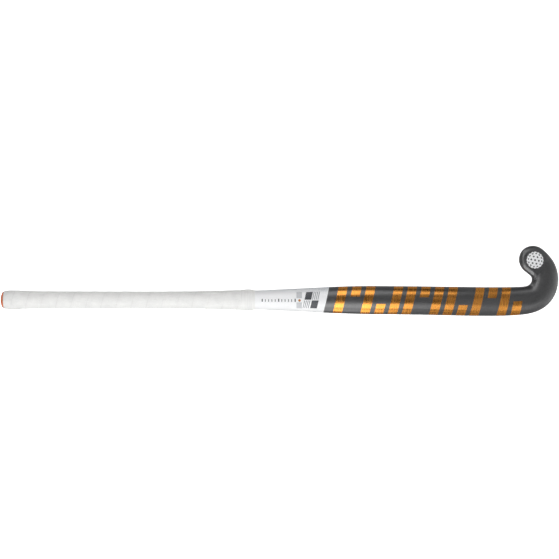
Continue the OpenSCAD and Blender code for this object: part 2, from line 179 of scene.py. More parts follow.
def section(r, k):
    """Across position c and whether the point is on the back, for k from 0 (toe edge) over the back (0.25) to
    the heel edge (0.5) and under the face (0.75) back to 1."""
    k = np.mod(k, 1.0)
    n = r[..., 7]
    a = 2 * np.pi * k
    cb = np.sign(np.cos(a)) * np.abs(np.cos(a)) ** (2 / n)
    hw, hs, fb = r[..., 2], r[..., 5], r[..., 6]
    f = fb / hw
    corner = np.pi / 2 * np.sqrt(((hw - fb) ** 2 + hs**2) / 2)
    k1 = corner / (2 * corner + 2 * fb)
    q = np.clip((k - 0.5) * 2, 0, 1)
    first = np.clip(q / k1, 0, 1)
    lastc = np.clip((1 - q) / k1, 0, 1)
    flat = -f + 2 * f * np.clip((q - k1) / np.maximum(1 - 2 * k1, 1e-9), 0, 1)
    cf = np.where(q < k1, -(f + (1 - f) * np.cos(np.pi / 2 * first)), np.where(q > 1 - k1, f + (1 - f) * np.cos(np.pi / 2 * lastc), flat))
    back = k <= 0.5
    return np.where(back, cb, cf), back


def face_z(r, q):
    f = r[..., 6] / r[..., 2]
    t = np.clip((np.abs(q) - f) / (1 - f), 0, 1)
    return r[..., 5] * (1 - np.sqrt(np.maximum(1 - t * t, 0)))


def back_shape(u, r, c, q, x, y, side=None):
    """Height of the back above the underside, with the head's sculpting: a tight shoulder on the inner side, a
    fuller one outside, a shallow dish in the toe, and a shallow crease between the neck and the toe's ridge."""
    n0 = r[..., 7]
    w = smooth(36.5, 41, u)
    # the neck's inner side is round, then the toe's shoulder rises out of it as a ridge
    ut = u - 2.6 * (1 - np.clip(c, 0, 1))
    ridge = smooth(39.55, 40.3, ut)
    neck = smooth(36.0, 38.0, u) * (1 - ridge)
    n_in = n0 + ridge * (3.4 - n0) + neck * (1.95 - n0)
    n_out = n0 + w * (2.3 - n0)
    n_out = n_out + smooth(41, 44, u) * (n_in - n_out)
    n = n_out + (n_in - n_out) * smooth(-0.3, 0.25, c)
    z = r[..., 5] + (r[..., 3] - r[..., 5]) * np.maximum(1 - np.minimum(np.abs(q), 1) ** n, 0) ** (1 / n)
    edge = 1 - np.minimum(np.abs(q), 1) ** 12
    dish = smooth(40.3, 42.6, u) * 0.95 * (1 - smooth(0.28, 0.8, np.abs(q)))
    # a crease parts the ridge from the neck
    crease = 0.14 * np.exp(-(((ut - 39.35) / 0.45) ** 2)) * smooth(0.35, 0.7, c)
    return z - dish * edge - crease * edge


def skin(u, k, d, x_shift=0.0):
    """Points on the stick's skin grown by d, at station u and section place k."""
    u, k = np.broadcast_arrays(np.asarray(u, float), np.asarray(k, float))
    r = grow(row(u), d)
    t = along(u)
    c, back = section(r, k)
    x = r[..., 0] - t[..., 1] * c * r[..., 2]
    y = r[..., 1] + t[..., 0] * c * r[..., 2]
    z = r[..., 4] + np.where(back, back_shape(u, r, c, np.abs(c), x, y), face_z(r, c))
    return np.stack([x - OX + x_shift, y - OY, z], -1)


def toe_skin(a, k, d):
    """Points that close the toe: a from 0 at the last station to 90 degrees at the tip."""
    a, k = np.broadcast_arrays(np.asarray(a, float), np.asarray(k, float))
    r = grow(np.broadcast_to(row(float(LAST)), a.shape + (8,)), d)
    t = along(float(LAST))
    c, back = section(r, k)
    g = np.cos(a)
    q = np.sqrt(np.sin(a) ** 2 + (c * g) ** 2)
    s = c * g * r[..., 2]
    v = np.sin(a) * r[..., 2] * TOE_K
    x = r[..., 0] + t[0] * v - t[1] * s
    y = r[..., 1] + t[1] * v + t[0] * s
    z = r[..., 4] + np.where(back, back_shape(np.full(a.shape, float(LAST)), r, c, q, x, y), face_z(r, q))
    return np.stack([x - OX, y - OY, z], -1)


def on_back(x, c, d, lean=0.0):
    """A point on the back of the shaft at x on the middle line, leaning with c, d above the skin."""
    x, c = np.broadcast_arrays(np.asarray(x, float), np.asarray(c, float))
    w = row(u_at(px(x)))[..., 2]
    u = u_at(px(x) + lean * c * w)
    r = grow(row(u), d)
    t = along(u)
    X = r[..., 0] - t[..., 1] * c * r[..., 2]
    Y = r[..., 1] + t[..., 0] * c * r[..., 2]
    return np.stack([X - OX, Y - OY, r[..., 4] + back_shape(u, r, c, np.abs(c), X, Y)], -1)


def on_toe(p, d):
    """A point on the back of the toe above the plan points p (x through px, y), d above the skin."""
    p = np.asarray(p, float)
    e = grow(row(float(LAST)), d)
    t = along(float(LAST))
    w = p - e[:2]
    v = w @ t
    lo, hi = np.full(len(p), 39.0), np.full(len(p), float(LAST))
    for _ in range(22):
        m = (lo + hi) / 2
        ahead = ((p - row(m)[:, :2]) * along(m)).sum(-1) > 0
        lo, hi = np.where(ahead, m, lo), np.where(ahead, hi, m)
    u = np.where(v > 0, float(LAST), (lo + hi) / 2)
    r = grow(row(u), d)
    al = along(u)
    nrm = np.stack([-al[:, 1], al[:, 0]], -1)
    c = ((p - r[:, :2]) * nrm).sum(-1) / r[:, 2]
    q = np.where(v > 0, np.sqrt((v / TOE_K) ** 2 + (w @ np.array([-t[1], t[0]])) ** 2) / e[2], np.abs(c))
    z = r[:, 4] + back_shape(u, r, c, q, p[:, 0], p[:, 1])
    return np.stack([p[:, 0] - OX, p[:, 1] - OY, z], -1)


# ---------------------------------------------------------------- mesh helpers
def quads(n, m, base=0, flip=False, width=None):
    """Faces of a grid of n rows and m columns of cells (so m + 1 columns of points unless width says otherwise)."""
    width = m + 1 if width is None else width
    i, j = np.meshgrid(np.arange(n), np.arange(m), indexing="ij")
    i, j = i.ravel(), j.ravel()
    k = (j + 1) % width
    f = np.stack([i * width + j, i * width + k, (i + 1) * width + k, (i + 1) * width + j], -1) + base
    return f[:, ::-1] if flip else f


def make(name, verts, faces, mat, uv=None, mat_index=None, sharp=40, smooth_faces=True):
    me = bpy.data.meshes.new(name)
    verts = np.asarray(verts, float).reshape(-1, 3) * MM
    me.from_pydata([tuple(v) for v in verts.tolist()], [], [tuple(f) for f in faces])
    mats = mat if isinstance(mat, (list, tuple)) else [mat]
    for m in mats:
        me.materials.append(m)
    if mat_index is not None:
        me.polygons.foreach_set("material_index", np.asarray(mat_index, np.int32))
    if uv is not None:
        layer = me.uv_layers.new(name="skin")
        layer.data.foreach_set("uv", np.asarray(uv, np.float32).ravel())
    me.validate()
    me.update()
    if smooth_faces:
        me.shade_smooth()
        if sharp:
            me.set_sharp_from_angle(angle=rad(sharp))
    ob = bpy.data.objects.new(name, me)
    bpy.context.scene.collection.objects.link(ob)
    return ob


def fix_normals(ob):
    """Faces of a closed mesh all face outward."""
    bm = bmesh.new()
    bm.from_mesh(ob.data)
    bmesh.ops.recalc_face_normals(bm, faces=bm.faces)
    if bm.calc_volume(signed=True) < 0:
        bmesh.ops.reverse_faces(bm, faces=bm.faces)
    bm.to_mesh(ob.data)
    bm.free()
    ob.data.update()


def place(ob, slot, *nodes):
    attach(ob, "root")
    if nodes:
        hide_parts(*nodes)
    return ob


def arc(P):
    """Length along the last-but-one axis of a row of points."""
    return np.concatenate([np.zeros(P.shape[:-2] + (1,)), np.cumsum(np.linalg.norm(np.diff(P, axis=-2), axis=-1), -1)], -1)


def ring_uv(P, s):
    """Lengthwise and round-the-section distances, in centimetres, for rows of points closed on themselves.
    Columns start and end at the middle of the underside."""
    Q = np.concatenate([P, P[:, :1]], 1)
    v = arc(Q)
    v = v - v[:, -1:] / 2
    return np.stack([np.broadcast_to(s[:, None], v.shape), v], -1) / 10


def sleeve(name, outer, inner, mat, s=None, sharp=40):
    """Closed tube between rows of outer and of inner points, each row closed on itself."""
    n, m = outer.shape[:2]
    V = np.concatenate([outer.reshape(-1, 3), inner.reshape(-1, 3)])
    ni = inner.shape[0]
    b = n * m
    fo = quads(n - 1, m, 0, False, m)
    fi = quads(ni - 1, m, b, True, m)
    j = np.arange(m)
    k = (j + 1) % m
    start = np.stack([j, k, b + k, b + j], -1)[:, ::-1]
    lo, li = (n - 1) * m, b + (ni - 1) * m
    end = np.stack([lo + j, lo + k, li + k, li + j], -1)
    F = np.concatenate([fo, fi, start, end])
    so = arc(outer[:, m // 2]) if s is None else s
    si = arc(inner[:, m // 2])
    UO, UI = ring_uv(outer, so), ring_uv(inner, si)
    E = m + 1
    go = quads(n - 1, m, 0, False)
    gi = quads(ni - 1, m, n * E, True)
    eo, ei = (n - 1) * E, n * E + (ni - 1) * E
    gs = np.stack([j, j + 1, n * E + j + 1, n * E + j], -1)[:, ::-1]
    ge = np.stack([eo + j, eo + j + 1, ei + j + 1, ei + j], -1)
    UV = np.concatenate([UO.reshape(-1, 2), UI.reshape(-1, 2)])[np.concatenate([go, gi, gs, ge])].reshape(-1, 2)
    ob = make(name, V, F.tolist(), mat, UV, sharp=sharp)
    return ob


def patches(parts):
    """One closed thin solid for each (outer grid, inner grid); returns points, faces and cell coordinates."""
    V, F, UV = [], [], []
    base = 0
    for outer, inner in parts:
        n, m = outer.shape[:2]
        V += [outer.reshape(-1, 3), inner.reshape(-1, 3)]
        b = n * m
        uu = arc(np.swapaxes(outer, 0, 1))[m // 2]
        vv = arc(outer)[n // 2]
        uvg = np.stack(np.meshgrid(uu, vv - vv[-1] / 2, indexing="ij"), -1).reshape(-1, 2) / 10
        uvg = np.concatenate([uvg, uvg])
        fo = quads(n - 1, m - 1)
        fi = quads(n - 1, m - 1, b, True)
        j = np.arange(m - 1)
        s0 = np.stack([j, j + 1, b + j + 1, b + j], -1)[:, ::-1]
        l = (n - 1) * m
        s1 = np.stack([l + j, l + j + 1, b + l + j + 1, b + l + j], -1)
        i = np.arange(n - 1) * m
        s2 = np.stack([i, i + m, b + i + m, b + i], -1)
        s3 = np.stack([i + m - 1, i + 2 * m - 1, b + i + 2 * m - 1, b + i + m - 1], -1)[:, ::-1]
        f = np.concatenate([fo, fi, s0, s1, s2, s3])
        F.append(f + base)
        UV.append(uvg[f].reshape(-1, 2))
        base += 2 * b
    return np.concatenate(V), np.concatenate(F), np.concatenate(UV)


def film_grid(x0, x1, c0, c1, nx, nc, lean, d):
    X = np.linspace(x0, x1, nx + 1)[:, None]
    C = np.linspace(c1, c0, nc + 1)[None, :]
    return on_back(X + 0 * C, C + 0 * X, d, lean)


def pucks(discs):
    """Closed round patches. Each is (points at the top as rings from the middle out, the same underneath)."""
    V, F, UV = [], [], []
    base = 0
    for top, bot, mid_t, mid_b, flat in discs:
        nr, ns = top.shape[:2]
        V += [top.reshape(-1, 3), bot.reshape(-1, 3), mid_t[None], mid_b[None]]
        b = nr * ns
        ft = quads(nr - 1, ns, 0, False, ns)
        fb = quads(nr - 1, ns, b, True, ns)
        j = np.arange(ns)
        k = (j + 1) % ns
        o = (nr - 1) * ns
        rim = np.stack([o + j, o + k, b + o + k, b + o + j], -1)
        tri_t = np.stack([np.full(ns, 2 * b), k, j], -1)
        tri_b = np.stack([np.full(ns, 2 * b + 1), b + j, b + k], -1)
        allf = [tuple(v) for v in np.concatenate([ft, fb, rim]).tolist()] + [tuple(v) for v in np.concatenate([tri_t, tri_b]).tolist()]
        pl = np.concatenate([top.reshape(-1, 3), bot.reshape(-1, 3), mid_t[None], mid_b[None]])[:, :2] / 10
        UV += [pl[list(f)] for f in allf]
        F += [tuple(v + base for v in f) for f in allf]
        base += 2 * b + 2
    return np.concatenate(V), F, np.concatenate(UV)


# ---------------------------------------------------------------- material helpers
class Nodes:
    def __init__(self, name):
        self.mat = bpy.data.materials.new(name)
        self.mat.use_nodes = True
        self.nt = self.mat.node_tree
        self.bsdf = self.nt.nodes["Principled BSDF"]
        self.bsdf.distribution = "MULTI_GGX"

    def set(self, **kw):
        names = {"rough": "Roughness", "metal": "Metallic", "coat": "Coat Weight", "coat_rough": "Coat Roughness", "sheen": "Sheen Weight",
                 "sheen_rough": "Sheen Roughness", "ior": "IOR", "spec": "Specular IOR Level", "aniso": "Anisotropic", "sub": "Subsurface Weight",
                 "sub_scale": "Subsurface Scale", "base": "Base Color", "coat_ior": "Coat IOR", "diff_rough": "Diffuse Roughness"}
        for k, v in kw.items():
            self.bsdf.inputs[names[k]].default_value = (*v, 1) if isinstance(v, tuple) and len(v) == 3 else v
        return self

    def put(self, socket, out):
        self.nt.links.new(out, self.bsdf.inputs[socket])

    def node(self, kind, **props):
        n = self.nt.nodes.new(kind)
        for k, v in props.items():
            setattr(n, k, v)
        return n

    def wire(self, socket, value):
        if isinstance(value, bpy.types.NodeSocket):
            self.nt.links.new(value, socket)
        elif isinstance(value, tuple) and len(value) == 3 and socket.type == "RGBA":
            socket.default_value = (*value, 1)
        else:
            socket.default_value = value

    def uv(self, sx=1.0, sy=1.0, rot=0.0):
        n = self.node("ShaderNodeUVMap", uv_map="skin")
        return self.scaled(n.outputs["UV"], (sx, sy, 1), rot)

    def place(self, sx=1.0, sy=1.0, sz=1.0):
        n = self.node("ShaderNodeTexCoord")
        return self.scaled(n.outputs["Object"], (sx, sy, sz))

    def scaled(self, v, s, rot=0.0):
        m = self.node("ShaderNodeMapping")
        self.wire(m.inputs["Vector"], v)
        m.inputs["Scale"].default_value = s
        m.inputs["Rotation"].default_value = (0, 0, rot)
        return m.outputs["Vector"]

    def noise(self, v, scale, detail=3.0, rough=0.55, distort=0.0):
        n = self.node("ShaderNodeTexNoise")
        self.wire(n.inputs["Vector"], v)
        n.inputs["Scale"].default_value = scale
        n.inputs["Detail"].default_value = detail
        n.inputs["Roughness"].default_value = rough
        n.inputs["Distortion"].default_value = distort
        return n.outputs["Fac"]

    def cells(self, v, scale, feature="F1", rnd=1.0, out="Distance"):
        n = self.node("ShaderNodeTexVoronoi", feature=feature)
        self.wire(n.inputs["Vector"], v)
        n.inputs["Scale"].default_value = scale
        n.inputs["Randomness"].default_value = rnd
        return n.outputs[out]

    def math(self, op, a, b=0.0, c=0.0, clamp=False):
        n = self.node("ShaderNodeMath", operation=op, use_clamp=clamp)
        for i, v in enumerate((a, b, c)):
            if i < len(n.inputs):
                self.wire(n.inputs[i], v)
        return n.outputs[0]

    def ramp(self, v, a, b, c=0.0, d=1.0, kind="SMOOTHSTEP"):
        n = self.node("ShaderNodeMapRange", interpolation_type=kind)
        self.wire(n.inputs["Value"], v)
        for k, x in zip(("From Min", "From Max", "To Min", "To Max"), (a, b, c, d)):
            n.inputs[k].default_value = x
        return n.outputs["Result"]

    def mix(self, f, a, b):
        n = self.node("ShaderNodeMix", data_type="RGBA")
        n.clamp_factor = True
        self.wire(n.inputs["Factor"], f)
        self.wire(n.inputs[6], a)
        self.wire(n.inputs[7], b)
        return n.outputs[2]

    def split(self, v):
        n = self.node("ShaderNodeSeparateXYZ")
        self.wire(n.inputs[0], v)
        return n.outputs

    def bump(self, height, strength, distance, normal=None):
        n = self.node("ShaderNodeBump")
        n.inputs["Strength"].default_value = strength
        n.inputs["Distance"].default_value = distance
        self.wire(n.inputs["Height"], height)
        if normal is not None:
            self.wire(n.inputs["Normal"], normal)
        return n.outputs["Normal"]


# ---------------------------------------------------------------- materials
def carbon():
    """Twill of 2 mm tows under a satin lacquer, with resin mottling and a fine grain."""
    m = Nodes("carbon_laminate").set(coat=0.05, coat_rough=0.2, ior=1.8, spec=0.72)
    uv = m.uv(5.0, 5.0, rad(45))
    X, Y, _ = m.split(uv)
    fx, fy = m.math("FLOOR", X), m.math("FLOOR", Y)
    turn = m.math("FRACT", m.math("MULTIPLY", m.math("ADD", fx, fy), 0.25))
    over = m.math("LESS_THAN", m.math("ADD", turn, 0.125), 0.5)
    wx = m.math("SINE", m.math("MULTIPLY", m.math("FRACT", X), math.pi))
    wy = m.math("SINE", m.math("MULTIPLY", m.math("FRACT", Y), math.pi))
    tow = m.math("ADD", m.math("MULTIPLY", wx, over), m.math("MULTIPLY", wy, m.math("SUBTRACT", 1.0, over)))
    fibre_a = m.noise(m.uv(90.0, 6.0, rad(45)), 1.0, 2.0)
    fibre_b = m.noise(m.uv(6.0, 90.0, rad(45)), 1.0, 2.0)
    fibre = m.math("ADD", m.math("MULTIPLY", fibre_a, over), m.math("MULTIPLY", fibre_b, m.math("SUBTRACT", 1.0, over)))
    blotch = m.noise(m.place(), 38.0, 4.0, 0.6)
    grain = m.noise(m.place(), 900.0, 2.0, 0.7)
    dark = m.mix(over, (0.0135, 0.014, 0.0155), (0.0175, 0.018, 0.0195))
    speck = m.noise(m.place(), 420.0, 3.0, 0.7)
    col = m.mix(m.ramp(fibre, 0.3, 0.75, 0.0, 0.35), dark, (0.034, 0.035, 0.037))
    col = m.mix(m.ramp(speck, 0.42, 0.70, 0.0, 0.65), col, (0.052, 0.053, 0.055))
    col = m.mix(m.ramp(grain, 0.45, 0.8, 0.0, 0.45), col, (0.060, 0.061, 0.064))
    col = m.mix(m.ramp(blotch, 0.35, 0.75, 0.0, 0.35), col, (0.011, 0.0115, 0.013))
    m.put("Base Color", col)
    r = m.ramp(blotch, 0.3, 0.7, 0.30, 0.38)
    m.put("Roughness", m.math("ADD", r, m.ramp(grain, 0.3, 0.8, -0.03, 0.06)))
    n = m.bump(m.math("MULTIPLY", tow, 1.0), 0.09, 0.00005)
    n = m.bump(m.noise(m.place(), 1500.0, 2.0), 0.12, 0.00004, n)
    m.put("Normal", n)
    return m.mat


def gold():
    """Brushed foil: fine lines across the shaft and slow changes of tone."""
    m = Nodes("gold_foil").set(metal=1.0, coat=0.0)
    lines = m.noise(m.place(2600.0, 60.0, 60.0), 1.0, 3.0, 0.7)
    wide = m.noise(m.place(320.0, 22.0, 22.0), 1.0, 2.0, 0.5)
    tone = m.noise(m.place(), 30.0, 3.0)
    col = m.mix(m.ramp(lines, 0.3, 0.72), (0.76, 0.29, 0.055), (0.95, 0.43, 0.09))
    col = m.mix(m.ramp(wide, 0.3, 0.7, 0.0, 0.45), col, (0.80, 0.33, 0.07))
    col = m.mix(m.ramp(tone, 0.4, 0.75, 0.0, 0.25), col, (0.88, 0.36, 0.095))
    m.put("Base Color", col)
    m.put("Roughness", m.math("ADD", m.ramp(lines, 0.25, 0.75, 0.22, 0.30), m.ramp(wide, 0.3, 0.7, -0.02, 0.03)))
    m.put("Normal", m.bump(lines, 0.12, 0.00004))
    return m.mat


def chamois():
    """Soft tacky grip strip: pores, mottling, and painted shade with a little dirt where the turns overlap."""
    m = Nodes("chamois").set(sheen=0.12, sheen_rough=0.5, ior=1.4, spec=0.3)
    at = m.node("ShaderNodeAttribute", attribute_name="seam_shade_and_dirt").outputs["Fac"]
    pores = m.cells(m.place(), 1100.0)
    fine = m.noise(m.place(), 700.0, 4.0, 0.65)
    blotch = m.noise(m.place(), 60.0, 4.0, 0.6)
    streak = m.noise(m.uv(0.8, 5.0), 1.0, 3.0)
    col = m.mix(m.ramp(blotch, 0.35, 0.7), (0.87, 0.87, 0.855), (0.81, 0.81, 0.80))
    col = m.mix(m.ramp(fine, 0.45, 0.75, 0.0, 0.35), col, (0.74, 0.74, 0.725))
    col = m.mix(m.ramp(streak, 0.5, 0.8, 0.0, 0.25), col, (0.58, 0.575, 0.56))
    col = m.mix(m.ramp(pores, 0.0, 0.28, 0.35, 0.0), col, (0.46, 0.46, 0.45))
    # painted shade with a little dirt: darker grey along the seams where the turns overlap, patchy with the mottling
    col = m.mix(m.math("MULTIPLY", at, m.ramp(blotch, 0.3, 0.65, 0.02, 0.2)), col, (0.46, 0.455, 0.44))
    m.put("Base Color", col)
    m.put("Roughness", m.ramp(fine, 0.3, 0.7, 0.65, 0.85))
    n = m.bump(pores, 0.3, 0.00010)
    n = m.bump(fine, 0.35, 0.00016, n)
    n = m.bump(m.noise(m.place(), 140.0, 3.0), 0.35, 0.0006, n)
    m.put("Normal", n)
    return m.mat


def tape():
    """Thin stretched finishing tape: fine ribs round the shaft and slight creases."""
    m = Nodes("finishing_tape").set(ior=1.45, spec=0.4)
    ribs = m.noise(m.place(1400.0, 30.0, 30.0), 1.0, 2.0)
    crease = m.noise(m.place(90.0, 40.0, 40.0), 1.0, 4.0, 0.65)
    col = m.mix(m.ramp(crease, 0.35, 0.7), (0.88, 0.88, 0.865), (0.83, 0.83, 0.82))
    col = m.mix(m.ramp(ribs, 0.4, 0.75, 0.0, 0.35), col, (0.59, 0.59, 0.58))
    m.put("Base Color", col)
    m.put("Roughness", m.ramp(crease, 0.3, 0.7, 0.45, 0.6))
    n = m.bump(ribs, 0.25, 0.00005)
    m.put("Normal", m.bump(crease, 0.3, 0.0003, n))
    return m.mat


def film():
    """White printed film under satin lacquer, with a grey halftone that thickens towards the leaning edge, and painted
    bluish shade along its toe-side edge.
    """
    m = Nodes("white_film").set(coat=0.2, coat_rough=0.2, ior=1.5)
    U, V, _ = m.split(m.uv())
    near = m.ramp(U, 6.0, 11.5)
    V = m.math("MULTIPLY", V, -1.0)
    side = m.ramp(V, -0.2, 2.2)
    dots = m.cells(m.uv(9.0, 9.0, rad(30)), 1.0, rnd=0.35)
    size = m.math("MULTIPLY", m.math("MULTIPLY", near, side), 0.40)
    dot = m.ramp(m.math("SUBTRACT", size, dots), -0.06, 0.06)
    fine = m.noise(m.place(), 420.0, 3.0)
    blotch = m.noise(m.place(), 30.0, 3.0)
    col = m.mix(m.ramp(blotch, 0.3, 0.75), (0.89, 0.895, 0.905), (0.865, 0.87, 0.88))
    # painted shade: the white turns bluish grey towards the toe-side edge, weaker over the first 3 cm from the film's
    # start
    painted_toe_shade = m.math("MULTIPLY", m.ramp(V, 1.0, 2.4), m.ramp(U, 0.0, 3.0, 0.2, 0.42))
    col = m.mix(painted_toe_shade, col, (0.60, 0.645, 0.70))
    col = m.mix(m.math("MULTIPLY", dot, 0.55), col, (0.36, 0.38, 0.41))
    col = m.mix(m.ramp(fine, 0.6, 0.85, 0.0, 0.25), col, (0.60, 0.61, 0.63))
    m.put("Base Color", col)
    m.put("Roughness", m.ramp(blotch, 0.3, 0.7, 0.30, 0.40))
    m.put("Normal", m.bump(fine, 0.10, 0.00005))
    return m.mat


def ink(name, a, b, rough=0.42, metal=0.0):
    """Printed ink or foil with a fine screen and worn specks."""
    m = Nodes(name).set(metal=metal, coat=0.15, coat_rough=0.25)
    fine = m.noise(m.place(), 1300.0, 3.0, 0.7)
    blotch = m.noise(m.place(), 160.0, 3.0)
    col = m.mix(m.ramp(fine, 0.35, 0.75), a, b)
    col = m.mix(m.ramp(blotch, 0.35, 0.7, 0.0, 0.3), col, tuple(min(1.0, v * 1.25) for v in a))
    m.put("Base Color", col)
    m.put("Roughness", m.ramp(fine, 0.3, 0.7, rough - 0.05, rough + 0.08))
    m.put("Normal", m.bump(fine, 0.15, 0.00003))
    return m.mat


def cap_rubber():
    m = Nodes("orange_cap").set(ior=1.45, coat=0.05, coat_rough=0.4)
    fine = m.noise(m.place(), 900.0, 3.0)
    blotch = m.noise(m.place(), 110.0, 3.0)
    col = m.mix(m.ramp(blotch, 0.3, 0.7), (0.68, 0.155, 0.05), (0.74, 0.20, 0.07))
    col = m.mix(m.ramp(fine, 0.5, 0.8, 0.0, 0.3), col, (0.58, 0.12, 0.04))
    m.put("Base Color", col)
    m.put("Roughness", m.ramp(fine, 0.3, 0.7, 0.40, 0.55))
    m.put("Normal", m.bump(fine, 0.3, 0.00008))
    return m.mat


def foam(name, a, b, scale):
    """Closed-cell foam."""
    m = Nodes(name).set(ior=1.4, spec=0.25)
    cell = m.cells(m.place(), scale)
    fine = m.noise(m.place(), scale * 0.2, 3.0)
    col = m.mix(m.ramp(cell, 0.0, 0.6), b, a)
    col = m.mix(m.ramp(fine, 0.4, 0.7, 0.0, 0.4), col, b)
    m.put("Base Color", col)
    m.put("Roughness", m.ramp(fine, 0.3, 0.7, 0.75, 0.9))
    m.put("Normal", m.bump(cell, 0.5, 0.0003))
    return m.mat


def plain_rubber(name, a, b):
    m = Nodes(name).set(ior=1.45)
    fine = m.noise(m.place(), 800.0, 3.0)
    blotch = m.noise(m.place(), 90.0, 3.0)
    m.put("Base Color", m.mix(m.ramp(blotch, 0.3, 0.7), a, b))
    m.put("Roughness", m.ramp(fine, 0.3, 0.7, 0.5, 0.7))
    m.put("Normal", m.bump(fine, 0.3, 0.0001))
    return m.mat


def inner_cloth():
    """Inner tube laminate: unidirectional fibre along the shaft, unpolished."""
    m = Nodes("inner_laminate").set(ior=1.5)
    fib = m.noise(m.place(12.0, 900.0, 900.0), 1.0, 3.0)
    blotch = m.noise(m.place(), 50.0, 3.0)
    col = m.mix(m.ramp(fib, 0.3, 0.7), (0.018, 0.018, 0.02), (0.05, 0.05, 0.053))
    col = m.mix(m.ramp(blotch, 0.4, 0.8, 0.0, 0.4), col, (0.075, 0.072, 0.065))
    m.put("Base Color", col)
    m.put("Roughness", m.ramp(blotch, 0.3, 0.7, 0.45, 0.65))
    m.put("Normal", m.bump(fib, 0.3, 0.0001))
    return m.mat


def cushion():
    m = Nodes("underlay").set(ior=1.4, spec=0.25)
    cell = m.cells(m.place(), 1500.0)
    blotch = m.noise(m.place(), 70.0, 3.0)
    m.put("Base Color", m.mix(m.ramp(blotch, 0.3, 0.7), (0.52, 0.52, 0.50), (0.44, 0.44, 0.425)))
    m.put("Roughness", m.ramp(blotch, 0.3, 0.7, 0.8, 0.92))
    m.put("Normal", m.bump(cell, 0.4, 0.0002))
    return m.mat


M_CARBON, M_GOLD, M_GRIP, M_TAPE, M_FILM, M_CAP = carbon(), gold(), chamois(), tape(), film(), cap_rubber()
M_DARK = ink("dark_print", (0.045, 0.05, 0.058), (0.075, 0.08, 0.09))
M_GREY = ink("grey_print", (0.50, 0.51, 0.53), (0.56, 0.57, 0.59))
M_HATCH = ink("hatch_print", (0.24, 0.25, 0.27), (0.34, 0.35, 0.37))
M_DOT = ink("copper_print", (0.48, 0.19, 0.045), (0.60, 0.27, 0.08), 0.38, 0.35)
M_WHITE = ink("white_print", (0.84, 0.84, 0.85), (0.90, 0.90, 0.91), 0.36)
M_FOAM = foam("core_foam", (0.72, 0.60, 0.38), (0.52, 0.42, 0.26), 900.0)
M_FOAM2 = foam("handle_foam", (0.78, 0.75, 0.64), (0.62, 0.59, 0.49), 1200.0)
M_PLUG = plain_rubber("plug_rubber", (0.025, 0.025, 0.026), (0.045, 0.045, 0.046))
M_INNER, M_UNDER = inner_cloth(), cushion()

# ---------------------------------------------------------------- the moulded body
MS = 132
KS = 0.75 + np.arange(MS) / MS


def body_rows(u, a, d):
    P = skin(u[:, None], KS[None, :], d)
    Q = toe_skin(a[:, None], KS[None, :], d)
    return np.concatenate([P, Q])


def cup(name, mat, u_out, a_out, u_in, a_in, wall):
    """The moulded shell: open at the butt, closed at the toe, with an inner skin."""
    outer, inner = body_rows(u_out, a_out, 0.0), body_rows(u_in, a_in, -wall)
    n, ni, m = len(outer), len(inner), MS
    e = row(float(LAST))
    t = along(float(LAST))

    def tip(d):
        r = grow(e, d)
        return np.array([r[0] + t[0] * r[2] * TOE_K - OX, r[1] + t[1] * r[2] * TOE_K - OY, r[4] + r[5]])

    V = np.concatenate([outer.reshape(-1, 3), inner.reshape(-1, 3), tip(0.0)[None], tip(-wall)[None]])
    b = n * m
    j = np.arange(m)
    k = (j + 1) % m
    fo = quads(n - 1, m, 0, False, m)
    fi = quads(ni - 1, m, b, True, m)
    start = np.stack([j, k, b + k, b + j], -1)[:, ::-1]
    T0, T1 = len(V) - 2, len(V) - 1
    lo, li = (n - 1) * m, b + (ni - 1) * m
    to = np.stack([lo + j, lo + k, np.full(m, T0)], -1)
    ti = np.stack([li + k, li + j, np.full(m, T1)], -1)
    F = np.concatenate([fo, fi, start]).tolist() + np.concatenate([to, ti]).tolist()
    E = m + 1
    UO, UI = ring_uv(outer, arc(outer[:, m // 2])), ring_uv(inner, arc(inner[:, m // 2]))
    tips = np.array([[UO[-1, 0, 0] + 0.1, 0.0], [UI[-1, 0, 0] + 0.1, 0.0]])
    G = np.concatenate([UO.reshape(-1, 2), UI.reshape(-1, 2), tips])
    bo = n * E
    co = quads(n - 1, m, 0, False)
    ci = quads(ni - 1, m, bo, True)
    cs = np.stack([j, j + 1, bo + j + 1, bo + j], -1)[:, ::-1]
    lo, li = (n - 1) * E, bo + (ni - 1) * E
    cto = np.stack([lo + j, lo + j + 1, np.full(m, len(G) - 2)], -1)
    cti = np.stack([li + j + 1, li + j, np.full(m, len(G) - 1)], -1)
    UV = np.concatenate([G[np.concatenate([co, ci, cs]).ravel()], G[np.concatenate([cto, cti]).ravel()]])
    return make(name, V, F, mat, UV, sharp=50)


u_body = np.concatenate([np.arange(0, 36, 0.2), np.arange(36, 44.0001, 0.055)])
u_body[-1] = 44.0
a_body = np.radians(np.array([2.2, 4.5, 7, 10, 13, 16.5, 20, 23.5, 27, 30.5, 34, 37.5, 41, 44.5, 48, 51.5, 55, 58.5, 62, 65.5, 69, 72, 75, 77.5, 80, 82, 84, 86, 87.6, 89]))
u_core = np.concatenate([np.arange(0, 36, 1.0), np.arange(36, 44.0001, 0.25)])
a_core = np.radians(np.array([6, 14, 24, 34, 44, 54, 63, 71, 78, 84, 88]))
body = cup("stick_body", M_CARBON, u_body, a_body, u_core, a_core, WALL)
fix_normals(body)
place(body, "carbon_laminate", "laminate_shell")

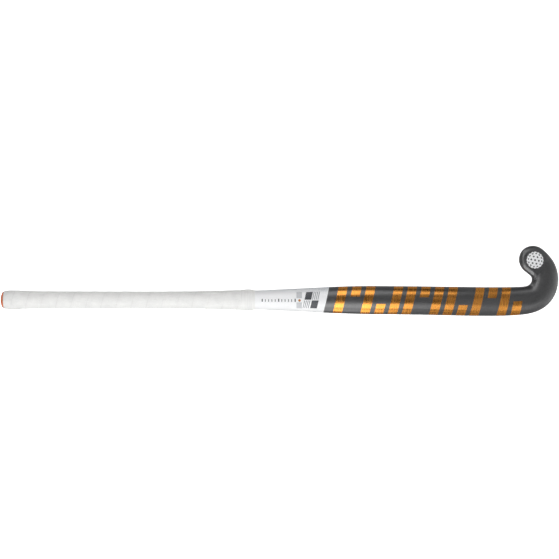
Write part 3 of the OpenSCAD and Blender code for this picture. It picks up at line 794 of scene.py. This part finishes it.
# The foam that fills the head follows the sculpted shell.
def foam_plug():
    d = -(WALL + 0.1)
    u = np.concatenate([[float(u_at(px(851)))], np.arange(36, 44.0001, 0.2)])
    P = body_rows(u, a_core, d)
    n, m = len(P), MS
    r = grow(row(float(LAST)), d)
    t = along(float(LAST))
    tip = np.array([r[0] + t[0] * r[2] * TOE_K - OX, r[1] + t[1] * r[2] * TOE_K - OY, r[4] + r[5]])
    V = np.concatenate([P.reshape(-1, 3), P[0].mean(0)[None], tip[None]])
    j = np.arange(m)
    k = (j + 1) % m
    lo = (n - 1) * m
    F = quads(n - 1, m, 0, False, m).tolist() + np.stack([k, j, np.full(m, n * m)], -1).tolist() + np.stack([lo + j, lo + k, np.full(m, n * m + 1)], -1).tolist()
    ob = make("head_core", V, F, M_FOAM)
    fix_normals(ob)
    return place(ob, "core_foam", "head_foam_core")


foam_plug()

# ---------------------------------------------------------------- butt cap
r2, r12 = row(2.0), row(12.0)
TILT = math.atan2(r12[4] + r12[3] / 2 - r2[4] - r2[3] / 2, r12[0] - r2[0])
BUTT_Z = r2[4] + r2[3] / 2 - r2[0] * math.tan(TILT)


def on_handle(rr, hh, ang):
    """Lathe point: radius, height along the handle's axis from the pole, angle."""
    lx, ly = rr * np.cos(ang), rr * np.sin(ang)
    X = hh * math.cos(TILT) + lx * math.sin(TILT) - OX
    Z = BUTT_Z + hh * math.sin(TILT) - lx * math.cos(TILT)
    return np.stack([X, ly - OY, Z], -1)


def butt():
    prof = []
    for a in np.radians(np.linspace(4, 90, 26)):
        rr, hh = 13.9 * math.sin(a) ** 0.97, 4.4 * (1 - math.cos(a))
        hh += 0.28 * math.exp(-(((rr - 7.2) / 0.55) ** 2)) + 0.35 * (1 - smooth(1.6, 2.6, rr))
        prof.append((rr, float(hh)))
    prof += [(14.05, 4.55), (14.17, 4.75), (14.2, 5.0), (14.1, 5.25), (13.8, 5.42), (11.2, 5.42), (10.9, 5.5), (10.75, 5.7)]
    for i in range(3):
        h0 = 6.8 + i * 5
        prof += [(10.75, h0), (11.0, h0 + 0.06), (11.2, h0 + 0.2), (11.15, h0 + 0.5), (10.9, h0 + 2.2), (10.75, h0 + 4.0)]
    prof += [(10.6, 22.0), (10.2, 22.6), (9.6, 22.8), (6.0, 22.8), (2.0, 22.8)]
    prof = np.array(prof)
    ns = 96
    ang = 2 * np.pi * np.arange(ns) / ns
    P = on_handle(prof[:, 0][:, None] + 0 * ang, prof[:, 1][:, None] + 0 * ang, ang[None, :])
    V = np.concatenate([P.reshape(-1, 3), on_handle(np.zeros(1), np.array([0.35]), np.zeros(1)), on_handle(np.zeros(1), np.array([22.8]), np.zeros(1))])
    n = len(prof)
    j = np.arange(ns)
    k = (j + 1) % ns
    lo = (n - 1) * ns
    F = quads(n - 1, ns, 0, False, ns).tolist() + np.stack([k, j, np.full(ns, n * ns)], -1).tolist() + np.stack([lo + j, lo + k, np.full(ns, n * ns + 1)], -1).tolist()
    ob = make("cap", V, F, M_CAP, sharp=45)
    fix_normals(ob)
    return place(ob, "orange_cap", "butt_cap")


butt()

# ---------------------------------------------------------------- grip: one strip wound in a helix
PITCH = 25.0
SEAM0 = 8.0
GRIP0, GRIP1 = 5.5, 413.0


def grip_out(x):
    return np.interp(x, [5.5, 5.7, 6.1, 6.8, 7.8, 9.3, 11.8, 16, 24, 396, 413], [0.85, 1.05, 1.2, 1.32, 1.4, 1.45, 1.5, 1.55, 1.55, 1.55, 1.5])


def grip_in(x):
    return np.interp(x, [5.5, 8.4, 9.0, 413], [0.06, 0.08, 0.57, 0.57])


def handle_skin(xs, k, d):
    """Skin of the handle at the stick's x (butt end at 0), grown by d; before the first station it keeps that section."""
    X = px(xs)
    u = u_at(X)
    x_shift = np.minimum(X - row(0.0)[0], 0)
    r = row(u)
    r = grow(r, d)
    c, back = section(r, k)
    y = r[..., 1] + c * r[..., 2]
    z = r[..., 4] + np.where(back, back_shape(u, r, c, np.abs(c), r[..., 0], y), face_z(r, c))
    return np.stack([r[..., 0] + x_shift - OX, y - OY, z], -1)


def fold(x, k):
    """Soft diagonal pulls where the strip turns over the flare."""
    g = np.exp(-(((x - 30) / 22) ** 2))
    a = 0.16 * np.sin(2 * np.pi * (x / 13.0 + 2 * k)) * g
    b = 0.12 * np.sin(2 * np.pi * (x / 7.3 - 3 * k) + 1.1) * np.exp(-(((x - 18) / 12) ** 2))
    c = 0.05 * np.sin(2 * np.pi * (x / 41.0 + k) + 0.7) + 0.035 * np.sin(2 * np.pi * (x / 17.0 + 4 * k) + 2.0)
    return (a + b + c) * smooth(5, 12, x)


def grip():
    t_list = np.array([0, 0.010, 0.022, 0.036, 0.055, 0.085, 0.125, 0.18, 0.24, 0.31, 0.38, 0.45, 0.52, 0.59, 0.66, 0.73, 0.80, 0.86, 0.91, 0.95, 0.975, 0.99])
    npr = len(t_list)
    turns = 20
    s = (np.arange(turns)[:, None] + t_list[None, :]).ravel()
    m = 108
    k = 0.75 + np.arange(m + 1) / m
    X = SEAM0 - 2 * PITCH + PITCH * (s[:, None] - (k[None, :] - 0.75))
    T = np.broadcast_to(np.mod(s, 1.0)[:, None], X.shape)
    TURN = np.floor(s)[:, None] + 0 * X
    xs = np.clip(X, 0.5, 430)
    lap = np.where(T < 0.036, smooth(0, 0.036, T), 1 - smooth(0.036, 0.62, T)) * 0.29
    lap = lap - 0.06 * np.exp(-(((T - 0.985) / 0.012) ** 2)) - 0.06 * (T < 0.006)
    vary = 0.8 + 0.35 * np.sin(TURN * 2.4 + 1.0) + 0.15 * np.sin(2 * np.pi * k[None, :] * 2 + TURN)
    lap = lap * vary * smooth(8, 30, xs) * (1 - smooth(388, 400, xs))
    d = grip_out(xs) + lap + fold(xs, k[None, :])
    P = handle_skin(xs, k[None, :] + 0 * xs, 0.0)
    Q = handle_skin(xs, k[None, :] + 0 * xs, 1.0)
    P = P + (Q - P) * d[..., None]
    P[..., 0] += X - xs
    P[..., 2] = np.maximum(P[..., 2], 0.03)
    # closeness to a seam, which the grip's material darkens as painted shade with a little dirt
    near = np.exp(-((np.minimum(T, 1 - T) / 0.020) ** 2)) * smooth(8, 26, xs) * (1 - smooth(390, 398, xs))
    n = len(s)
    V = P[:, :m].reshape(-1, 3)
    seam_shade_and_dirt = near[:, :m].ravel()
    i, j = np.meshgrid(np.arange(n - 1), np.arange(m), indexing="ij")
    i, j = i.ravel(), j.ravel()
    lastcol = j == m - 1
    ok = ~lastcol | (i >= npr)
    i, j, lastcol = i[ok], j[ok], lastcol[ok]

    def idx(ii, jj):
        wrap = jj == m
        return np.where(wrap, (ii - npr) * m, ii * m + jj)

    F = np.stack([idx(i, j), idx(i, j + 1), idx(i + 1, j + 1), idx(i + 1, j)], -1)
    bm = bmesh.new()
    lay = bm.verts.layers.float.new("seam_shade_and_dirt")
    uvl = bm.loops.layers.uv.new("skin")
    vs = [bm.verts.new(p) for p in (V * MM).tolist()]
    for v, q in zip(vs, seam_shade_and_dirt.tolist()):
        v[lay] = q
    # round-the-handle distance for the material's streaks
    E = np.stack([i, j], -1)
    for f, (ii, jj) in zip(F.tolist(), E.tolist()):
        face = bm.faces.new([vs[a] for a in f])
        face.smooth = True
        for lp, (da, db) in zip(face.loops, ((0, 0), (0, 1), (1, 1), (1, 0))):
            lp[uvl].uv = (X[ii + da, jj + db] / 10, (k[jj + db] - 1.25) * 9.0)
    xa, xb = (float(px(GRIP0)) - OX) * MM, (float(px(GRIP1)) - OX) * MM
    for co, no in ((xa, -1), (xb, 1)):
        geom = bm.verts[:] + bm.edges[:] + bm.faces[:]
        bmesh.ops.bisect_plane(bm, geom=geom, plane_co=(co, 0, 0), plane_no=(no, 0, 0), clear_outer=True, dist=1e-7)
    # inner skin
    ui = np.concatenate([[5.5, 6.5, 8.4, 9.0], np.arange(20, 410, 13.0), [413.0]])
    mi = 72
    ki = 0.75 + np.arange(mi) / mi
    xx, kk = np.meshgrid(ui, ki, indexing="ij")
    I = handle_skin(xx, kk, 0.0) + (handle_skin(xx, kk, 1.0) - handle_skin(xx, kk, 0.0)) * grip_in(xx)[..., None]
    I[..., 2] = np.maximum(I[..., 2], 0.02)
    iv = [[bm.verts.new((q * MM).tolist()) for q in r] for r in I]
    for a in range(len(ui) - 1):
        for b in range(mi):
            c = (b + 1) % mi
            f = bm.faces.new([iv[a][b], iv[a + 1][b], iv[a + 1][c], iv[a][c]])
            f.smooth = True
    bm.verts.ensure_lookup_table()
    for co in (xa, xb):
        edges = [e for e in bm.edges if e.is_boundary and all(abs(v.co.x - co) < 2e-6 for v in e.verts)]
        bmesh.ops.triangle_fill(bm, edges=edges, use_beauty=True, use_dissolve=False)
    bmesh.ops.recalc_face_normals(bm, faces=bm.faces)
    if bm.calc_volume(signed=True) < 0:
        bmesh.ops.reverse_faces(bm, faces=bm.faces)
    me = bpy.data.meshes.new("grip_chamois")
    bm.to_mesh(me)
    bm.free()
    me.materials.append(M_GRIP)
    me.shade_smooth()
    me.set_sharp_from_angle(angle=rad(65))
    ob = bpy.data.objects.new("grip_chamois", me)
    bpy.context.scene.collection.objects.link(ob)
    return place(ob, "chamois", "grip_wrap")


grip()

# ---------------------------------------------------------------- finishing tape
def finish_tape():
    n = 66
    x = np.linspace(398, 421.5, n)
    q = x - 398
    t = np.interp(q, [0, 0.6, 4, 8, 11, 14, 17, 20, 23, 23.5], [0.06, 0.16, 0.3, 0.68, 0.85, 0.74, 0.5, 0.34, 0.24, 0.1])
    for _ in range(6):
        t[1:-1] = (t[:-2] + 2 * t[1:-1] + t[2:]) / 4
    under = np.maximum(np.where(q < 16, 1.57, 1.57 - 1.55 * (q - 16) / 7.5), 0.17)
    for _ in range(4):
        under[1:-1] = (under[:-2] + 2 * under[1:-1] + under[2:]) / 4
    m = 120
    k = 0.75 + np.arange(m) / m
    xx, kk = np.meshgrid(x, k, indexing="ij")
    crease = 0.06 * np.sin(2 * np.pi * (xx / 6.1 + 2 * kk)) + 0.05 * np.sin(2 * np.pi * (xx / 3.4 - 3 * kk) + 1.3)
    end = 0.10 * smooth(0, 0.02, np.mod(kk - 0.93 + (xx - 398) * 0.004, 1.0)) * (1 - smooth(0.02, 0.5, np.mod(kk - 0.93 + (xx - 398) * 0.004, 1.0)))
    ease = np.sin(np.pi * np.clip((xx - 398) / 23.5, 0, 1)) ** 0.5
    A, B = handle_skin(xx, kk, 0.0), handle_skin(xx, kk, 1.0)
    outer = A + (B - A) * ((under + t)[:, None] + (crease + end) * ease)[..., None]
    inner = A + (B - A) * under[:, None, None]
    ob = sleeve("finish_tape", outer, inner, M_TAPE, sharp=60)
    fix_normals(ob)
    return place(ob, "finishing_tape", "grip_finishing_tape")


finish_tape()

# ---------------------------------------------------------------- white film
def white_film():
    n, m = 60, 132
    k = 0.75 + np.arange(m) / m
    r_end = row(float(u_at(px(538.5))))
    c_end, _ = section(np.broadcast_to(r_end, (m, 8)), k)
    x0, x1 = float(px(419.0)), float(px(538.5))
    xe = x1 + LEAN * c_end * r_end[2]
    X = x0 + (np.arange(n + 1) / n)[:, None] * (xe[None, :] - x0)
    U = u_at(X)
    K = np.broadcast_to(k[None, :], U.shape)
    top = np.full(n + 1, 0.14)
    top[-1] = 0.10
    top[0] = 0.10
    A, B = skin(U, K, 0.0), skin(U, K, 1.0)
    outer = A + (B - A) * top[:, None, None]
    inner = A + (B - A) * 0.02
    ob = sleeve("white_film", outer, inner, M_FILM, sharp=60)
    fix_normals(ob)
    return place(ob, "white_film", "white_shaft_film")


white_film()

# ---------------------------------------------------------------- foil bars and small prints
NT = 14
BARS = [[1, 13], [1, 6], [1, 13], [8, 13], [1, 13], [1, 13], [1, 6], [1, 13], [1, 13], [8, 13], [1, 13], [1, 6], [1, 13], [7, 13]]


def foils():
    parts = []
    for i, (a, b) in enumerate(BARS):
        xm = 561.5 + i * 22.7
        X = np.linspace(xm - 7.5, xm + 7.5, 13)[:, None]
        steps = np.linspace(a, b, 4 * (b - a) + 1)
        C = (np.sign(np.cos(np.pi * steps / NT)) * np.abs(np.cos(np.pi * steps / NT)) ** (2 / 2.15))[None, :]
        parts.append((on_back(X + 0 * C, C + 0 * X, 0.11, LEAN), on_back(X + 0 * C, C + 0 * X, 0.02, LEAN)))
    V, F, UV = patches(parts)
    ob = make("gold_foils", V, F.tolist(), M_GOLD, UV, sharp=60)
    fix_normals(ob)
    return place(ob, "gold_foil", "gold_bar_foils")


foils()


def printed(name, specs, mat, slot, node, lo=0.155, hi=0.20):
    parts = []
    for x0, x1, c0, c1, nx, nc, lean in specs:
        parts.append((film_grid(x0, x1, c0, c1, nx, nc, lean, hi), film_grid(x0, x1, c0, c1, nx, nc, lean, lo)))
    V, F, UV = patches(parts)
    ob = make(name, V, F.tolist(), mat, UV, sharp=60)
    fix_normals(ob)
    return place(ob, slot, node)


printed("tick_marks", [(432.5 + i * 5.4, 432.5 + i * 5.4 + (1.8 if i % 5 == 0 else 1.1), -0.16, 0.12 if i % 5 == 0 else 0.08, 3, 6, 0.0) for i in range(11)], M_DARK, "dark_print", "shaft_ticks")
printed("grey_blocks", [(489.5, 498.5, -0.7, -0.2, 8, 14, 0.0), (489.5, 498.5, 0.16, 0.68, 8, 14, 0.0)], M_GREY, "grey_print", "label_grey_blocks")
printed("dark_tiles", [(502.5, 513.5, 0.03, 0.66, 10, 16, LEAN), (515, 526, -0.66, -0.03, 10, 16, LEAN)], M_DARK, "dark_print", "label_dark_tiles")
printed("hatched_tiles", [(515 + i * 2.9, 516.3 + i * 2.9, 0.03, 0.66, 3, 16, LEAN) for i in range(4)] + [(502.5 + i * 2.9, 503.8 + i * 2.9, -0.66, -0.03, 3, 16, LEAN) for i in range(4)], M_HATCH, "hatch_print", "label_hatched_tiles")


def dot():
    nr, ns = 5, 40
    w = float(row(float(u_at(px(494.5))))[2])
    q = 2.1 * np.arange(1, nr + 1)[:, None] / nr
    a = 2 * np.pi * np.arange(ns)[None, :] / ns
    X, C = 494.5 + q * np.cos(a), -0.03 + q * np.sin(-a) / w
    top, bot = on_back(X, C, 0.21), on_back(X, C, 0.155)
    V, F, UV = pucks([(top, bot, on_back(494.5, -0.03, 0.21), on_back(494.5, -0.03, 0.155), None)])
    ob = make("round_dot", V, F, M_DOT, UV, sharp=60)
    fix_normals(ob)
    return place(ob, "copper_print", "label_dot")


dot()


def roundel():
    """White disc with the dimples of a plain ball, printed on the toe."""
    cx, cy = float(px(885.5)), 66.0
    R = 14.0
    discs, count = [], []

    def disc(mx, my, ra, rb, ang, lo, hi, nr, ns):
        q = np.arange(1, nr + 1)[:, None] / nr
        a = -2 * np.pi * np.arange(ns)[None, :] / ns
        lx, ly = ra * q * np.cos(a), rb * q * np.sin(a)
        X = mx + lx * math.cos(ang) - ly * math.sin(ang)
        Y = my + lx * math.sin(ang) + ly * math.cos(ang)
        flat = np.stack([X, Y], -1).reshape(-1, 2)
        top, bot = on_toe(flat, 0).reshape(nr, ns, 3), on_toe(flat, 0).reshape(nr, ns, 3)
        mid = on_toe(np.array([[mx, my]]), 0)[0]
        z = np.array([0, 0, 1.0])
        discs.append((top + z * hi, bot + z * lo, mid + z * hi, mid + z * lo, None))
        count.append((nr - 1) * ns * 2 + ns + 2 * ns)

    disc(cx, cy, R, R, 0.0, 0.02, 0.12, 22, 96)
    rings = [(0, 1), (27, 6), (52, 12), (74, 16)]
    for g, (th, num) in enumerate(rings):
        for i in range(num):
            ang = 2 * math.pi * (i + 0.5 * (g % 2)) / num + 0.35
            rho = R * math.sin(rad(th))
            disc(cx + rho * math.cos(ang), cy + rho * math.sin(ang), max(1.55 * math.cos(rad(th)), 0.40), 1.55 if th < 70 else 1.3, ang, 0.10, 0.15, 4, 28)
    V, F, UV = pucks(discs)
    idx = np.concatenate([np.full(c, 0 if i == 0 else 1) for i, c in enumerate(count)])
    ob = make("ball_mark", V, F, [M_WHITE, M_DARK], UV, mat_index=idx, sharp=60)
    fix_normals(ob)
    return place(ob, "white_print", "toe_roundel")


roundel()

# ---------------------------------------------------------------- parts carried over from CAD
for node, mat in (("inner_tube_toe_side", M_INNER), ("inner_tube_heel_side", M_INNER), ("handle_foam_core", M_FOAM2), ("butt_plug", M_PLUG), ("grip_underlay", M_UNDER)):
    ob = frame["nodes"][node] if isinstance(frame, dict) and "nodes" in frame else bpy.data.objects[node]
    ob.data.materials.clear()
    ob.data.materials.append(mat)

# ---------------------------------------------------------------- floor, world, lights, camera
def studio():
    """Pale paper floor, and a pale dome behind it that closes the horizon. Both only show, and throw no light."""
    m = Nodes("floor_paper").set(spec=0.0)
    n = m.noise(m.place(), 60.0, 3.0)
    m.put("Base Color", m.mix(n, (0.90, 0.90, 0.90), (0.93, 0.93, 0.93)))
    m.put("Roughness", m.ramp(n, 0.3, 0.7, 0.9, 1.0))
    m.bsdf.inputs["Emission Color"].default_value = (1, 1, 1, 1)
    m.bsdf.inputs["Emission Strength"].default_value = 1.0
    s, rows, cols = 9.0, 10, 48
    flat = [(-s, -s, -0.0001), (s, -s, -0.0001), (s, s, -0.0001), (-s, s, -0.0001)]
    dome = [(8.9 * math.cos(e) * math.cos(a), 8.9 * math.cos(e) * math.sin(a), 8.9 * math.sin(e) - 0.0001) for e in np.linspace(0, 1.5, rows + 1) for a in 2 * math.pi * np.arange(cols) / cols]
    top = tuple(range(rows * cols, (rows + 1) * cols))
    for name, verts, faces in (("floor", flat, [(0, 1, 2, 3)]), ("backdrop", dome, quads(rows, cols, 0, True, cols).tolist() + [top])):
        me = bpy.data.meshes.new(name)
        me.from_pydata(verts, [], faces)
        me.materials.append(m.mat)
        ob = bpy.data.objects.new(name, me)
        bpy.context.scene.collection.objects.link(ob)
        ob.visible_glossy = False
        ob.visible_diffuse = False
        ob.visible_shadow = False


studio()

world = bpy.data.worlds.new("studio")
bpy.context.scene.world = world
world.use_nodes = True
wn = world.node_tree
bg = wn.nodes["Background"]
tc = wn.nodes.new("ShaderNodeTexCoord")
sx = wn.nodes.new("ShaderNodeSeparateXYZ")
wn.links.new(tc.outputs["Generated"], sx.inputs[0])


def wramp(out, a, b, c, d):
    n = wn.nodes.new("ShaderNodeMapRange")
    n.interpolation_type = "SMOOTHSTEP"
    wn.links.new(out, n.inputs["Value"])
    for key, val in (("From Min", a), ("From Max", b), ("To Min", c), ("To Max", d)):
        n.inputs[key].default_value = val
    return n.outputs["Result"]


def wmath(op, a, b):
    n = wn.nodes.new("ShaderNodeMath")
    n.operation = op
    for i, v in enumerate((a, b)):
        if isinstance(v, bpy.types.NodeSocket):
            wn.links.new(v, n.inputs[i])
        else:
            n.inputs[i].default_value = v
    return n.outputs[0]


# Pale band at the horizon, dark overhead between the boxes, paper-coloured below and brighter at the head's end.
sky = wramp(sx.outputs["Z"], 0.03, 0.15, 0.22, 0.02)
ground = wramp(sx.outputs["X"], 0.25, 0.9, 0.35, 1.0)
below = wramp(sx.outputs["Z"], -0.04, 0.0, 1.0, 0.0)
wn.links.new(wmath("ADD", wmath("MULTIPLY", ground, below), wmath("MULTIPLY", sky, wmath("SUBTRACT", 1.0, below))), bg.inputs["Strength"])
bg.inputs["Color"].default_value = (1.0, 1.0, 1.0, 1)


def panel(name, centre, target, length, width, radiance, colour=(1, 1, 1)):
    """Soft box: length along X, width across, facing the target."""
    li = bpy.data.lights.new(name, "AREA")
    li.shape = "RECTANGLE"
    li.size, li.size_y = length, width
    li.energy = radiance * math.pi * length * width
    li.color = colour
    ob = bpy.data.objects.new(name, li)
    ob.location = centre
    d = (Vector(target) - Vector(centre)).normalized()
    z = -d
    x = Vector((1, 0, 0)) if abs(d.x) < 0.7 else Vector((0, 1, 0))
    y = z.cross(x).normalized()
    x = y.cross(z).normalized()
    from mathutils import Matrix
    ob.matrix_world = Matrix(((x.x, y.x, z.x, centre[0]), (x.y, y.y, z.y, centre[1]), (x.z, y.z, z.z, centre[2]), (0, 0, 0, 1)))
    ob.visible_camera = False
    bpy.context.scene.collection.objects.link(ob)
    return ob


SY = -0.0315


def at_angle(deg, dist, x):
    return (x, SY + dist * math.sin(rad(deg)), 0.03 + dist * math.cos(rad(deg)))


# Soft boxes side by side in an arch over the stick. For each angle from straight up (heel side negative): how wide
# the box is, and its brightness over the handle, over the middle and over the head's end.
ARCH = {
    -84: (0.33, 0, 2.2, 0),
    -68: (0.30, 3.0, 2.2, 0.64),
    -54: (0.26, 2.2, 1.1, 0),
    -42: (0.22, 7.1, 3.35, 1.45),
    -32: (0.20, 0, 2.8, 0.85),
    -22: (0.21, 0, 2.95, 1.7),
    -11: (0.22, 1.5, 0.4, 0),
    0: (0.22, 1.4, 0, 0),
    11: (0.22, 1.7, 0, 0.4),
    22: (0.21, 3.45, 0, 0),
    32: (0.20, 2.8, 1.8, 0.4),
    42: (0.22, 0, 1.8, 1.55),
    54: (0.26, 0, 1.8, 0.27),
    68: (0.30, 1.35, 0.27, 0),
    84: (0.33, 3.4, 0, 0),
}
for deg, (width, *levels) in ARCH.items():
    for cx, level in zip((-0.575, -0.025, 0.525), levels):
        if level:
            panel("arch", at_angle(deg, 1.15, cx), (cx, SY, 0.03), 0.55, width, level)
# Boxes past the head's end: high ones carry the arch on, low ones light its rim.
for deg, level in ((-50, 0.6), (-25, 0.63), (0, 0.45), (25, 0.19), (50, 0.27)):
    panel("arch_end", at_angle(deg, 1.15, 1.08), (0.5, SY, 0.03), 0.5, 0.45, level)
for az, el, level in ((-60, 12, 0.4), (-30, 12, 1.7), (0, 12, 1.25), (60, 12, 0.55), (-30, 35, 0.97), (0, 35, 0.7), (30, 35, 0.7)):
    a, e = rad(az), rad(el)
    at = (0.44 + 1.1 * math.cos(e) * math.cos(a), 1.1 * math.cos(e) * math.sin(a), 0.01 + 1.1 * math.sin(e))
    panel("head_end", at, (0.44, 0.0, 0.01), 0.5, 0.42, level)

CAM_D, PLANE_Z = 2.4, 0.013
cam_data = bpy.data.cameras.new("camera")
cam = bpy.data.objects.new("camera", cam_data)
bpy.context.scene.collection.objects.link(cam)
cam.location = (-0.0010, 0.0023, PLANE_Z + CAM_D)
cam.rotation_euler = (0, 0, 0)
cam_data.sensor_width = 36
cam_data.lens = 36 * CAM_D / 0.9303
cam_data.clip_start, cam_data.clip_end = 0.05, 60
bpy.context.scene.camera = cam

scene = bpy.context.scene
scene.view_settings.view_transform = "Standard"
scene.view_settings.look = "None"
scene.view_settings.exposure = 0.0
scene.view_settings.gamma = 1.0
